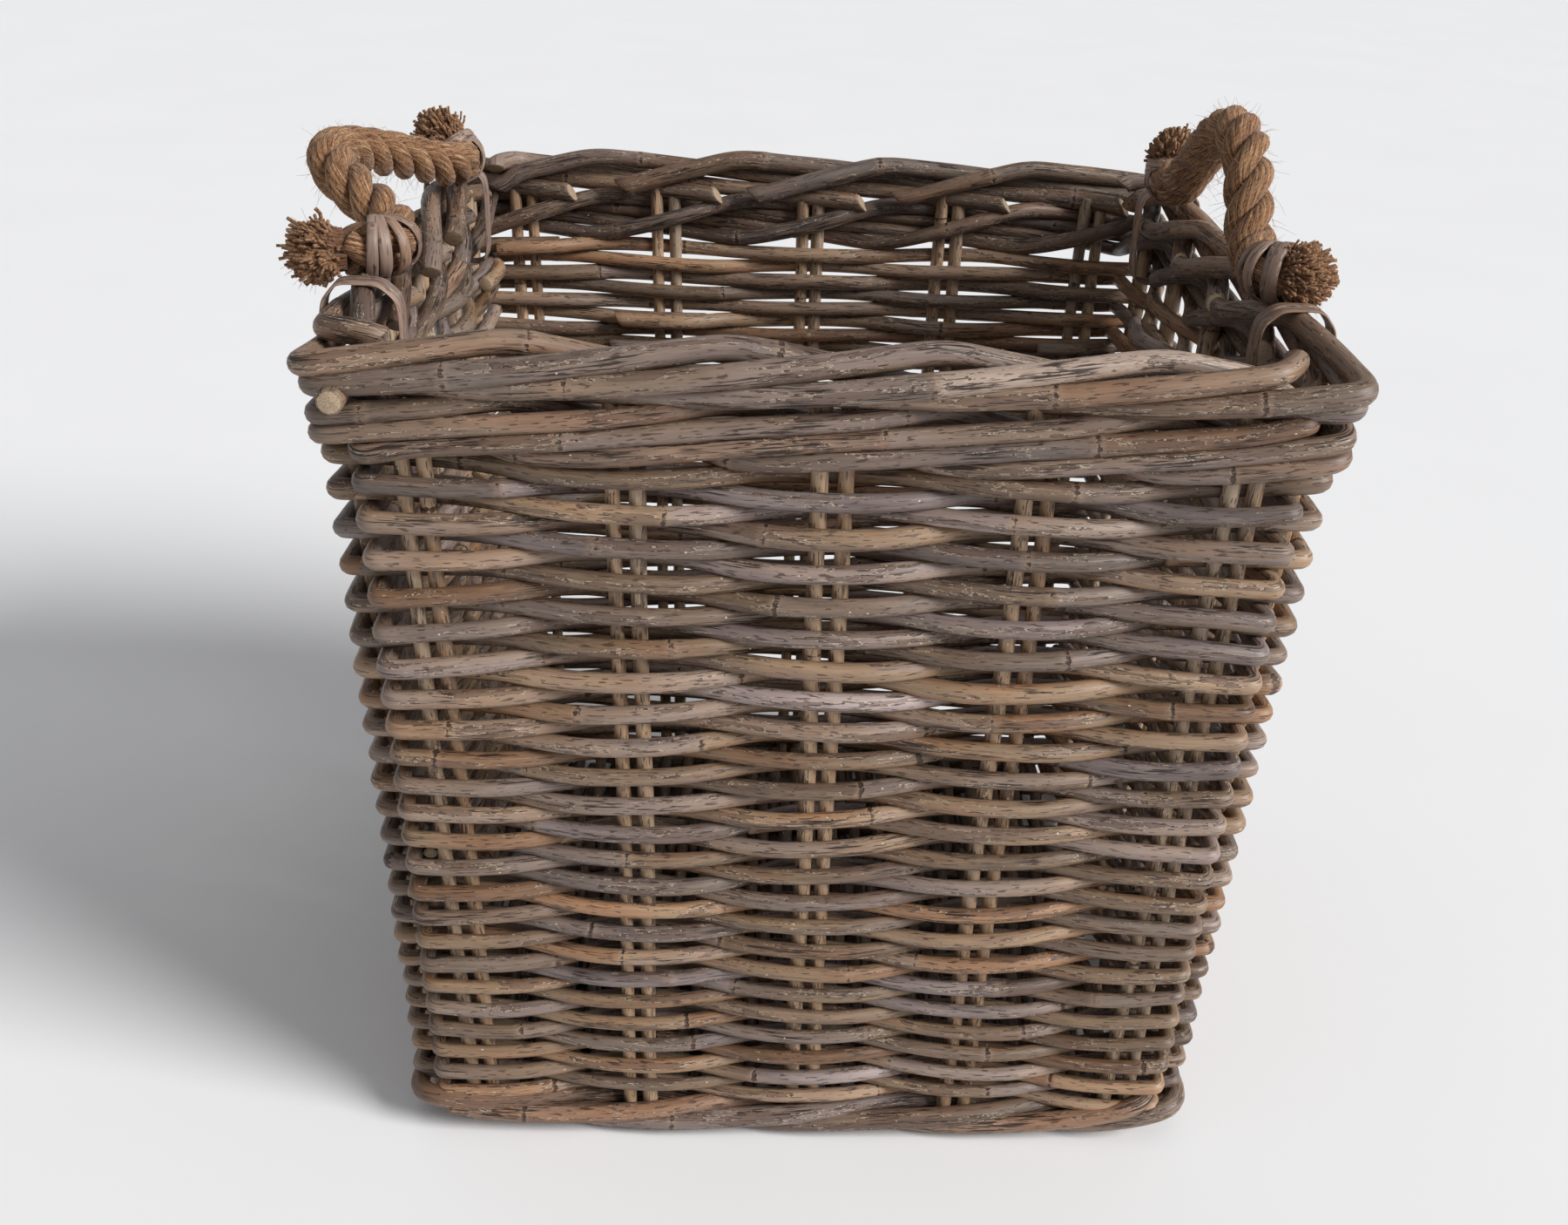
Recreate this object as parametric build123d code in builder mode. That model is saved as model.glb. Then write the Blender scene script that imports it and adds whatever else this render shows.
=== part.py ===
"""A square woven rattan laundry basket with two rope handles, in millimetres.

The origin is on the floor under the middle of the basket, +Z is up, the front is at -Y
and the handles are on the left (-X) and the right (+X).
"""

from build123d import *

import math
import os

# Driving dimensions
RIM_WIDTH = 460.0  # left to right over the weave, at the rim
RIM_DEPTH = 430.0  # front to back over the weave, at the rim
HEIGHT = 450.0  # floor to the top of the border
BASE_SHARE = 0.92  # size of the foot over the size of the rim
GAP = 0.25  # running room between neighbouring rods

# Stakes: upright rods that stand in pairs, five pairs to a wall
STAKE_D = 8.0
STAKE_SPREAD = 12.6  # centre to centre within a pair
PAIR_SPOTS = (-0.81, -0.405, 0.0, 0.405, 0.81)  # share of the half wall
STAKE_FOOT = 2.0
STAKE_TOP = 426.0

# Weavers: rods that run round the basket, in front of one pair and behind the next
ROWS = 44
ROWS_TO_BAND = 4
LOWEST_ROW = 38.0
LOW_PITCH = 7.2  # rows are packed tighter at the foot than at the rim
HIGH_PITCH = 9.05
WEAVER_GAP = 0.4
WEAVER_SKIN = 8.6  # how far the weave stands out from the stakes

# Wales: three heavier rods, in front of two pairs and behind one
FOOT_ROD_D = 11.0
FOOT_PITCH = 11.4
FOOT_WEAR = 0.4  # worn flat where the lowest rod meets the floor
WALE_ROD_D = 10.0
WALE_PITCH = 10.4
WALE_TOP = 425.4

# Border: a bundle of three rods that rolls round the top of the stakes
BORDER_ROD_D = 12.5

# Bends in the rods
FLANK = STAKE_SPREAD / 2 + 2.0  # where a rod leaves its line past a pair
WAVE_RADIUS = 40.0
CORNER_RADIUS = 8.0
BORDER_CORNER_RADIUS = 16.0

# Base: straight sticks from left to right, with rods woven across them
BASE_STICKS = 6
BASE_STICK_D = 9.0
BASE_ROD_D = 7.4
BASE_ROD_PITCH = 7.8
BASE_LEVEL = 16.5
BASE_STICK_STEP = 56.0
BASE_CLEARANCE = 0.6

# Rope handles
ROPE_D = 22.0
NECK_X = 208.0  # line on which a handle swings, out from the middle
NECK_Z = HEIGHT + ROPE_D / 2 + 0.3
NECK_REACH = 98.0  # from the middle of the wall to each end of the arch
END_OFFSET = 14.0  # from the neck to the line of the cut end
ELBOW_RADIUS = 12.5
LEFT_LEAN = 60.0  # degrees that the left handle leans out
RIGHT_LEAN = 0.0
FRAY_D = 29.0
FRAY_LENGTH = 20.0
ROPE_GAP = 0.3

# The arch of a handle: distance along the wall, and height over the neck line
ARCH_ROUTE = (
    (-NECK_REACH, 0.0),
    (-79.0, 0.0),
    (-64.0, 17.0),
    (-50.0, 41.0),
    (-25.0, 52.0),
    (4.0, 46.0),
    (32.0, 31.0),
    (58.0, 14.0),
    (79.0, 0.0),
    (NECK_REACH, 0.0),
)

# Lashings: strips of rattan peel round the rope and the border
PEEL_THICK = 1.5
PEEL_WIDTH = 5.0
NECK_TURNS = 3
HOOP_OFFSETS = (17.0, 25.0)  # from the line of the rope end, toward the corner
HOOP_CORNER = 4.0


def outer_half(rim_size, z):
    """Half the size of the woven basket at height z."""
    return rim_size / 2 * (BASE_SHARE + (1 - BASE_SHARE) * z / HEIGHT)


def stake_half(rim_size, z):
    """Half the distance between the stakes of opposite walls at height z."""
    return outer_half(rim_size, z) - WEAVER_SKIN - STAKE_D / 2


def walls(z):
    """Each wall as its direction, its outward normal, its distance and its pair spots."""
    half_x = stake_half(RIM_WIDTH, z)
    half_y = stake_half(RIM_DEPTH, z)
    spots_x = [share * outer_half(RIM_WIDTH, z) for share in PAIR_SPOTS]
    spots_y = [share * outer_half(RIM_DEPTH, z) for share in PAIR_SPOTS]
    return [
        (Vector(1, 0, 0), Vector(0, -1, 0), half_y, spots_x),
        (Vector(0, 1, 0), Vector(1, 0, 0), half_x, spots_y),
        (Vector(-1, 0, 0), Vector(0, 1, 0), half_y, spots_x),
        (Vector(0, -1, 0), Vector(-1, 0, 0), half_x, spots_y),
    ]


def ring_route(z, rod_d, sides):
    """Corners and radii of a rod that passes pair p outside (sides[p] = 1) or inside (-1)."""
    offset = (rod_d + STAKE_D) / 2 + GAP
    around = walls(z)
    pairs = len(PAIR_SPOTS)
    corners = []
    radii = []
    for wall, (along, out, distance, spots) in enumerate(around):
        for i, spot in enumerate(spots):
            side = sides[wall * pairs + i]
            line = out * (distance + side * offset)
            if i > 0 and sides[wall * pairs + i - 1] != side:
                corners.append(along * (spot - FLANK) + line)
                radii.append(WAVE_RADIUS)
            if i < pairs - 1 and sides[wall * pairs + i + 1] != side:
                corners.append(along * (spot + FLANK) + line)
                radii.append(WAVE_RADIUS)
        last = sides[wall * pairs + pairs - 1]
        after = sides[(wall * pairs + pairs) % len(sides)]
        next_distance = around[(wall + 1) % len(around)][2]
        corners.append(along * (next_distance + after * offset) + out * (distance + last * offset))
        radii.append(CORNER_RADIUS)
    return [point + Vector(0, 0, z) for point in corners], radii


def ring_rods(rows):
    """Closed rods, one for each (height, diameter, sides) of rows."""
    with BuildPart() as rods:
        for z, rod_d, sides in rows:
            corners, radii = ring_route(z, rod_d, sides)
            with BuildLine() as route:
                FilletPolyline(*corners, radius=radii, close=True)
            start = route.wire()
            with BuildSketch(Plane(origin=start @ 0, z_dir=start % 0)):
                Circle(rod_d / 2)
            sweep(path=start)
    return rods


def save(piece, label):
    """Names a finished piece and writes it out."""
    piece.part.label = label
    export_step(piece.part, f"parts/{label}.step")


def stakes(wall):
    """The ten upright rods of one wall."""
    low = walls(STAKE_FOOT)[wall]
    high = walls(STAKE_TOP)[wall]
    with BuildPart() as rods:
        for low_spot, high_spot in zip(low[3], high[3]):
            for shift in (-STAKE_SPREAD / 2, STAKE_SPREAD / 2):
                foot = low[0] * (low_spot + shift) + low[1] * low[2] + Vector(0, 0, STAKE_FOOT)
                head = high[0] * (high_spot + shift) + high[1] * high[2] + Vector(0, 0, STAKE_TOP)
                with BuildSketch(Plane(origin=foot, z_dir=head - foot)):
                    Circle(STAKE_D / 2)
                extrude(amount=(head - foot).length)
    return rods


def weaver_rows():
    """Height, diameter and sides of every row, from the foot to the rim."""
    growth = (HIGH_PITCH - LOW_PITCH) / (ROWS - 1)
    pairs = 4 * len(PAIR_SPOTS)
    rows = []
    z = LOWEST_ROW
    for row in range(ROWS):
        pitch = LOW_PITCH + row * growth
        sides = [1 if (pair + row) % 2 == 0 else -1 for pair in range(pairs)]
        rows.append((z, pitch - WEAVER_GAP, sides))
        z += pitch + growth / 2
    return rows


def wale_sides(strand):
    """A wale strand runs behind every third pair."""
    pairs = 4 * len(PAIR_SPOTS)
    return [-1 if (pair + strand) % 3 == 0 else 1 for pair in range(pairs)]


def foot_rod(strand):
    """One rod of the foot wale, worn flat where it would reach below the floor."""
    z = FOOT_ROD_D / 2 - FOOT_WEAR + strand * FOOT_PITCH
    ring = ring_rods([(z, FOOT_ROD_D, wale_sides(strand))])
    with BuildPart() as rod:
        add(ring.part)
        split(bisect_by=Plane.XY, keep=Keep.TOP)
    return rod


def border_rod(side_shift, z):
    """One rod of the border, a rounded rectangle over the heads of the stakes."""
    half_x = stake_half(RIM_WIDTH, HEIGHT) + side_shift
    half_y = stake_half(RIM_DEPTH, HEIGHT) + side_shift
    corners = [(-half_x, -half_y, z), (half_x, -half_y, z), (half_x, half_y, z), (-half_x, half_y, z)]
    with BuildPart() as rod:
        with BuildLine() as route:
            FilletPolyline(*corners, radius=BORDER_CORNER_RADIUS + side_shift, close=True)
        line = route.wire()
        with BuildSketch(Plane(origin=line @ 0, z_dir=line % 0)):
            Circle(BORDER_ROD_D / 2)
        sweep(path=line)
    return rod


def base_sticks():
    """Straight sticks that run from the left wall to the right wall."""
    reach = stake_half(RIM_WIDTH, BASE_LEVEL) - STAKE_D / 2 - FOOT_ROD_D - 2 * BASE_CLEARANCE
    with BuildPart() as sticks:
        with BuildSketch(Plane.YZ.offset(-reach)):
            with GridLocations(BASE_STICK_STEP, 0, BASE_STICKS, 1):
                with Locations((0, BASE_LEVEL)):
                    Circle(BASE_STICK_D / 2)
        extrude(amount=2 * reach)
    return sticks


def base_rods():
    """Rods woven over and under the sticks, from the front wall to the back wall."""
    offset = (BASE_STICK_D + BASE_ROD_D) / 2 + GAP
    reach_x = stake_half(RIM_WIDTH, BASE_LEVEL) - STAKE_D / 2 - FOOT_ROD_D - BASE_CLEARANCE
    reach_y = stake_half(RIM_DEPTH, BASE_LEVEL) - STAKE_D / 2 - FOOT_ROD_D - BASE_CLEARANCE
    count = int((2 * reach_x - BASE_ROD_D) / BASE_ROD_PITCH) + 1
    flank = BASE_STICK_D / 2 + 1.0
    with BuildPart() as rods:
        for index in range(count):
            x = (index - (count - 1) / 2) * BASE_ROD_PITCH
            points = []
            for stick in range(BASE_STICKS):
                y = (stick - (BASE_STICKS - 1) / 2) * BASE_STICK_STEP
                side = 1 if (stick + index) % 2 == 0 else -1
                z = BASE_LEVEL + side * offset
                first = -reach_y if stick == 0 else y - flank
                last = reach_y if stick == BASE_STICKS - 1 else y + flank
                points += [Vector(x, first, z), Vector(x, last, z)]
            with BuildLine() as route:
                FilletPolyline(*points, radius=WAVE_RADIUS / 2)
            line = route.wire()
            with BuildSketch(Plane(origin=line @ 0, z_dir=line % 0)):
                Circle(BASE_ROD_D / 2)
            sweep(path=line)
    return rods


def tilted(side, lean, y, height):
    """A point of a handle that leans out by lean degrees, at height over its neck line."""
    turn = math.radians(lean)
    return Vector(side * (NECK_X + height * math.sin(turn)), y, NECK_Z + height * math.cos(turn))


def rope_arch(side, lean):
    """The loop of one rope handle, from neck to neck."""
    points = [tilted(side, lean, y, height) for y, height in ARCH_ROUTE]
    runs = [(b - a).length for a, b in zip(points, points[1:])]
    radii = []
    for i in range(1, len(points) - 1):
        turn = math.radians((points[i] - points[i - 1]).get_angle(points[i + 1] - points[i]))
        radii.append(0.45 * min(runs[i - 1], runs[i]) / math.tan(turn / 2))
    print("arch radii", [round(radius, 1) for radius in radii])
    with BuildPart() as arch:
        with BuildLine() as route:
            FilletPolyline(*points, radius=radii)
        line = route.wire()
        with BuildSketch(Plane(origin=line @ 0, z_dir=line % 0)):
            Circle(ROPE_D / 2)
        sweep(path=line)
    print("arch length", round(line.length, 1), "tightest bend", round(min(radii) / ROPE_D, 2), "diameters")
    return arch


def rope_end(side, end, reach):
    """The cut end of a rope: an elbow from the neck to a frayed tip outside the basket."""
    neck_y = end * (NECK_REACH + ROPE_GAP)
    line_y = end * (NECK_REACH + ROPE_GAP + END_OFFSET)
    corner = Vector(side * NECK_X, line_y, NECK_Z)
    fray = Vector(side * (reach - FRAY_LENGTH), line_y, NECK_Z)
    tip = Vector(side * reach, line_y, NECK_Z)
    with BuildPart() as rope:
        with BuildLine() as route:
            FilletPolyline(
                Vector(side * NECK_X, neck_y, NECK_Z), corner, fray, radius=ELBOW_RADIUS
            )
        line = route.wire()
        with BuildSketch(Plane(origin=line @ 0, z_dir=line % 0)):
            Circle(ROPE_D / 2)
        sweep(path=line)
        with BuildSketch(Plane(origin=fray, z_dir=tip - fray)):
            Circle(ROPE_D / 2)
        with BuildSketch(Plane(origin=tip, z_dir=tip - fray)):
            Circle(FRAY_D / 2)
        loft()
    return rope


def lashing(side, end):
    """Turns of peel round the rope, and two hoops round the border beside it."""
    line_y = NECK_REACH + ROPE_GAP + END_OFFSET
    inner = ROPE_D / 2 + ROPE_GAP
    low = WALE_TOP - WALE_ROD_D - 2 * WALE_PITCH - GAP / 2
    high = HEIGHT + ROPE_GAP
    reach = WALE_ROD_D + STAKE_D / 2 + 2 * GAP + ROPE_GAP
    inside = stake_half(RIM_WIDTH, low) - reach
    outside = stake_half(RIM_WIDTH, high) + reach
    with BuildPart() as peel:
        for turn in range(NECK_TURNS):
            x = side * (NECK_X + ELBOW_RADIUS + 1.0 + turn * (PEEL_WIDTH + 0.5))
            with BuildSketch(Plane(origin=(x, end * line_y, NECK_Z), z_dir=(side, 0, 0))):
                Circle(inner + PEEL_THICK)
                Circle(inner, mode=Mode.SUBTRACT)
            extrude(amount=PEEL_WIDTH)
        for offset in HOOP_OFFSETS:
            middle = Vector(side * (inside + outside) / 2, end * (line_y + offset), (low + high) / 2)
            with BuildSketch(Plane(origin=middle, x_dir=(1, 0, 0), z_dir=(0, 1, 0))):
                RectangleRounded(
                    outside - inside + 2 * PEEL_THICK,
                    high - low + 2 * PEEL_THICK,
                    HOOP_CORNER + PEEL_THICK,
                )
                RectangleRounded(outside - inside, high - low, HOOP_CORNER, mode=Mode.SUBTRACT)
            extrude(amount=PEEL_WIDTH / 2, both=True)
    return peel


def build():
    os.makedirs("parts", exist_ok=True)

    for wall, name in enumerate(("front", "right", "back", "left")):
        save(stakes(wall), f"stakes_{name}")

    rows = weaver_rows()
    for band in range(ROWS // ROWS_TO_BAND):
        first = band * ROWS_TO_BAND
        save(ring_rods(rows[first : first + ROWS_TO_BAND]), f"weaver_band_{band + 1:02d}")
    print("rows from", round(rows[0][0], 2), "to", round(rows[-1][0], 2), "rod", rows[-1][1])

    for strand, name in enumerate(("lower", "middle", "upper")):
        save(foot_rod(strand), f"foot_wale_{name}")
        z = WALE_TOP - WALE_ROD_D / 2 - (2 - strand) * WALE_PITCH
        save(ring_rods([(z, WALE_ROD_D, wale_sides(strand))]), f"rim_wale_{name}")

    beside = BORDER_ROD_D / 2 + GAP / 2
    rise = math.sqrt((BORDER_ROD_D + GAP) ** 2 - beside**2)
    top = HEIGHT - BORDER_ROD_D / 2
    save(border_rod(0.0, top), "border_rod_top")
    save(border_rod(beside, top - rise), "border_rod_outer")
    save(border_rod(-beside, top - rise), "border_rod_inner")
    print("border underside", round(top - rise - BORDER_ROD_D / 2, 2))

    save(base_sticks(), "base_sticks")
    save(base_rods(), "base_weavers")

    left_arch = rope_arch(-1, LEFT_LEAN)
    save(left_arch, "left_rope_handle")
    save(rope_arch(1, RIGHT_LEAN), "right_rope_handle")
    reach = -left_arch.part.bounding_box().min.X
    for side, name in ((-1, "left"), (1, "right")):
        for end, place in ((-1, "front"), (1, "back")):
            save(rope_end(side, end, reach), f"{name}_{place}_rope_end")
            save(lashing(side, end), f"{name}_{place}_lashing")


build()
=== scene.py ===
"""Looks of the square rattan basket with rope handles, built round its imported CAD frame.

Everything is in metres in the frame of the CAD: floor at z = 0, front at -Y. A rod that runs
round the basket is placed by its phase: phase p is stake pair p, counted round the walls from
the left end of the front, and half phases between walls are the corners.
"""

import math

import bpy
import numpy as np
from mathutils import Matrix, Vector


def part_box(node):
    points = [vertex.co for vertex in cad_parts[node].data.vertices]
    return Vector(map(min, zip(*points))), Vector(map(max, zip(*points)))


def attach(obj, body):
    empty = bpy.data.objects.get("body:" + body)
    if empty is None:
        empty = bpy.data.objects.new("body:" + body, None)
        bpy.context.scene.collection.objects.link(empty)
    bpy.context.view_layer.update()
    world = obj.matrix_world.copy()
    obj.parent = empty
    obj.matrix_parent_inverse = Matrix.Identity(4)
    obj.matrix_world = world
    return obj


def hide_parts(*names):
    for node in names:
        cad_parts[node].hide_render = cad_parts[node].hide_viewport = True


MM = 0.001
X, Y, Z = np.eye(3)
rng = np.random.default_rng(20)

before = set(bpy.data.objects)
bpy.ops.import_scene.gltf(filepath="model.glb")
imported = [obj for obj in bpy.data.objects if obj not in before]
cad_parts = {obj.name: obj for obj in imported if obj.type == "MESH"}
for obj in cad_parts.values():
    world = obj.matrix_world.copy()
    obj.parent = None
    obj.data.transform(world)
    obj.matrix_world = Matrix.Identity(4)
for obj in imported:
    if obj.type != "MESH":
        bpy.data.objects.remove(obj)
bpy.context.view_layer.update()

# Sizes of the basket
RIM_X, RIM_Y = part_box("border_rod_outer")[1][:2]
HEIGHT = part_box("border_rod_top")[1].z
BASE_SHARE = 0.92  # size of the foot, as a share of the rim
STAKE_INSET = 12.6 * MM  # from the outside of the weave to the line of the stakes
STAKE_D = 7.8 * MM
STAKE_SPREAD = 10.8 * MM  # between the two stakes of a pair
PAIRS = 5  # of stakes, to a wall
AROUND = 4 * PAIRS
PAIR_SHARES = np.array([-0.81, -0.405, 0.0, 0.405, 0.81])  # places of the pairs, of half a wall
WALLS = ((X, -Y), (Y, X), (-X, Y), (-Y, -X))  # direction and outward normal of each wall

# Rows of weavers
ROWS = 44
EXTRA_ROWS = 2  # below the first row of the CAD, where its foot wale has a third rod
EXTRA_PITCH = 6.9 * MM
LOWEST_ROW = 38.0 * MM
LOW_PITCH = 7.2 * MM
HIGH_PITCH = 9.05 * MM
BANDS = 11

ANY_PHASE = (0.0, 6.28)  # anywhere in a wave


def new_object(name, data):
    """A new object of the scene that holds this data."""
    made = bpy.data.objects.new(name, data)
    bpy.context.scene.collection.objects.link(made)
    return made


# ---- camera
CAMERA_PLACE = Vector((-0.0400, -0.8907, 0.6579))
CAMERA_YAW = 0.0303
CAMERA_PITCH = 0.4546
CAMERA_ROLL = 0.0371
LENS = 38.4  # millimetres, on a sensor SENSOR_WIDTH wide
SENSOR_WIDTH = 36.0


def add_camera():
    """The camera of the photograph: yaw to the right, pitch down, then roll."""
    yaw, pitch, roll = CAMERA_YAW, CAMERA_PITCH, CAMERA_ROLL
    level_share = math.cos(pitch)
    forward = Vector((math.sin(yaw) * level_share, math.cos(yaw) * level_share, -math.sin(pitch)))
    level = Vector((math.cos(yaw), -math.sin(yaw), 0.0))
    above = level.cross(forward)
    right = math.cos(roll) * level + math.sin(roll) * above
    up = math.cos(roll) * above - math.sin(roll) * level
    data = bpy.data.cameras.new("camera")
    data.lens = LENS
    data.sensor_width = SENSOR_WIDTH
    data.clip_start = 10 * MM
    camera = new_object("camera", data)
    turned = Matrix((right, up, -forward)).transposed().to_4x4()
    camera.matrix_world = Matrix.Translation(CAMERA_PLACE) @ turned
    bpy.context.scene.camera = camera


add_camera()


# ---- ropes' lines
NECK_X = 208.0 * MM
NECK_Z = HEIGHT + 11.3 * MM
NECK_REACH = 98.0 * MM  # from the middle of the wall to each neck
ROPE_D = 23.0 * MM
LEFT_LEAN = math.radians(60.0)
RIGHT_LEAN = 0.0
SPLINE_STEPS = 12

# The route of an arch: millimetres along the wall, millimetres over the line of its necks
ARCH_ROUTE = (
    (-98.0, 0.0), (-79.0, 0.0), (-64.0, 17.0), (-50.0, 41.0), (-25.0, 52.0),
    (4.0, 46.0), (32.0, 31.0), (58.0, 14.0), (79.0, 0.0), (98.0, 0.0),
)


def tilted(side, lean, y, height):
    """A point of a handle that leans out, at height over its neck line."""
    out = NECK_X + height * math.sin(lean)
    return Vector((side * out, y, NECK_Z + height * math.cos(lean)))


def smooth_line(name, points):
    """Points along the NURBS spline that has these control points."""
    curve = bpy.data.curves.new(name, "CURVE")
    curve.dimensions = "3D"
    curve.resolution_u = SPLINE_STEPS
    spline = curve.splines.new("NURBS")
    spline.points.add(len(points) - 1)
    for point, place in zip(spline.points, points):
        point.co = (*place, 1.0)
    spline.order_u = 3
    spline.use_endpoint_u = True
    holder = new_object(name, curve)
    bpy.context.view_layer.update()
    mesh = bpy.data.meshes.new_from_object(holder)
    line = np.array([vertex.co for vertex in mesh.vertices])
    bpy.data.objects.remove(holder)
    bpy.data.meshes.remove(mesh)
    return line


def arch_line(name, side, lean):
    """The centre line of a rope handle, from its front neck to its back neck."""
    return smooth_line(name, [tilted(side, lean, y * MM, h * MM) for y, h in ARCH_ROUTE])


arch_lines = {
    "left": arch_line("left_route", -1, LEFT_LEAN),
    "right": arch_line("right_route", 1, RIGHT_LEAN),
}


# ---- rod meshes
GRAIN_SHIFT = 40.0  # most that a rod's grain is moved along, so that no two rods look the same
NODE_GAPS = (0.14, 0.28)  # least and most distance between the nodes of a rod
NODE_SWELL = 0.05  # how much thicker a rod is at a node
NODE_REACH = 3.5 * MM  # how far along the rod a node's swelling goes
TONE_CHANGE = 0.22  # how much the tone of a rod changes from one side of a node to the other
JOINT_TURN, TONE_TURN = 2.4, 9.0  # these two pick which way it changes
WANDERS = ((0.03, 31 * MM, 1), (0.02, 11 * MM, 3))  # slow changes of size: share, wave, start
OUT_OF_ROUND = 0.035
CUT_RINGS = ((0.80, 1.0 * MM), (0.93, 0.7 * MM))  # size and push of an end's last rings
SLANTED_RINGS = (0, 1, 2, -3, -2, -1)  # those that a slanting cut moves


def lengths(line):
    """Distance along a line at each of its points."""
    return np.concatenate([[0.0], np.cumsum(np.linalg.norm(np.diff(line, axis=0), axis=1))])


def tangents(line):
    """Unit direction of a line at each of its points."""
    ahead = np.gradient(line, axis=0)
    return ahead / np.linalg.norm(ahead, axis=1)[:, None]


def stations(line, spacing, bend_weight=14.0 * MM):
    """The line again, with points closer together where it bends."""
    heading = tangents(line)
    turn = np.linalg.norm(np.diff(heading, axis=0), axis=1)
    step = np.linalg.norm(np.diff(line, axis=0), axis=1)
    weight = np.concatenate([[0.0], np.cumsum(step + bend_weight * turn)])
    count = max(4, int(weight[-1] / spacing) + 1)
    wanted = np.linspace(0.0, weight[-1], count)
    return np.stack([np.interp(wanted, weight, line[:, axis]) for axis in range(3)], axis=1)


def softened(line, reach):
    """The line with its corners rounded, by a moving average over reach points each way."""
    window = np.hanning(2 * reach + 3)[1:-1]
    window /= window.sum()
    before = 2 * line[0] - line[reach:0:-1]
    after = 2 * line[-1] - line[-2 : -reach - 2 : -1]
    padded = np.concatenate([before, line, after])
    return np.stack([np.convolve(padded[:, axis], window, "valid") for axis in range(3)], axis=1)


def side_vectors(line, reference):
    """Two vectors across a line at each point, the first as near to reference as it can be."""
    heading = tangents(line)
    first = reference - heading * (heading @ reference)[:, None]
    first /= np.linalg.norm(first, axis=1)[:, None]
    return first, np.cross(heading, first)


def carried_vectors(line):
    """Two vectors across a line at each point that don't twist along it."""
    heading = tangents(line)
    first = np.zeros_like(line)
    start = np.cross(heading[0], Z + 0.1 * X)
    first[0] = start / np.linalg.norm(start)
    for i in range(1, len(line)):
        moved = first[i - 1] - heading[i] * (first[i - 1] @ heading[i])
        first[i] = moved / np.linalg.norm(moved)
    return first, np.cross(heading, first)


def round_angles(sides):
    """Angles of that many points evenly round a circle."""
    return np.arange(sides) / sides * 2 * math.pi


def rings_round(centre, first, second, size, angle):
    """Rings of points round a line, by its side vectors; size has a row for each station."""
    across = first[:, None] * np.cos(angle)[:, None] + second[:, None] * np.sin(angle)[:, None]
    return centre[:, None] + across * size[:, :, None]


def vectors(rings, *parts):
    """A vector for each point of the rings, from three arrays or numbers."""
    made = np.empty_like(rings)
    for axis, part in enumerate(parts):
        made[:, :, axis] = part
    return made


def end_rows(count):
    """For each ring of a rod: its station, share of the full size, push along, and 1 at a cut."""
    rows = [0, 0, *range(count), count - 1, count - 1]
    shrink, push, cut = np.ones(len(rows)), np.zeros(len(rows)), np.zeros(len(rows))
    cut[[0, -1]] = 1.0
    for i, (size, reach) in enumerate(CUT_RINGS):
        shrink[[i, -1 - i]] = size
        push[[i, -1 - i]] = [-reach, reach]
    return rows, shrink, push, cut


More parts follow.
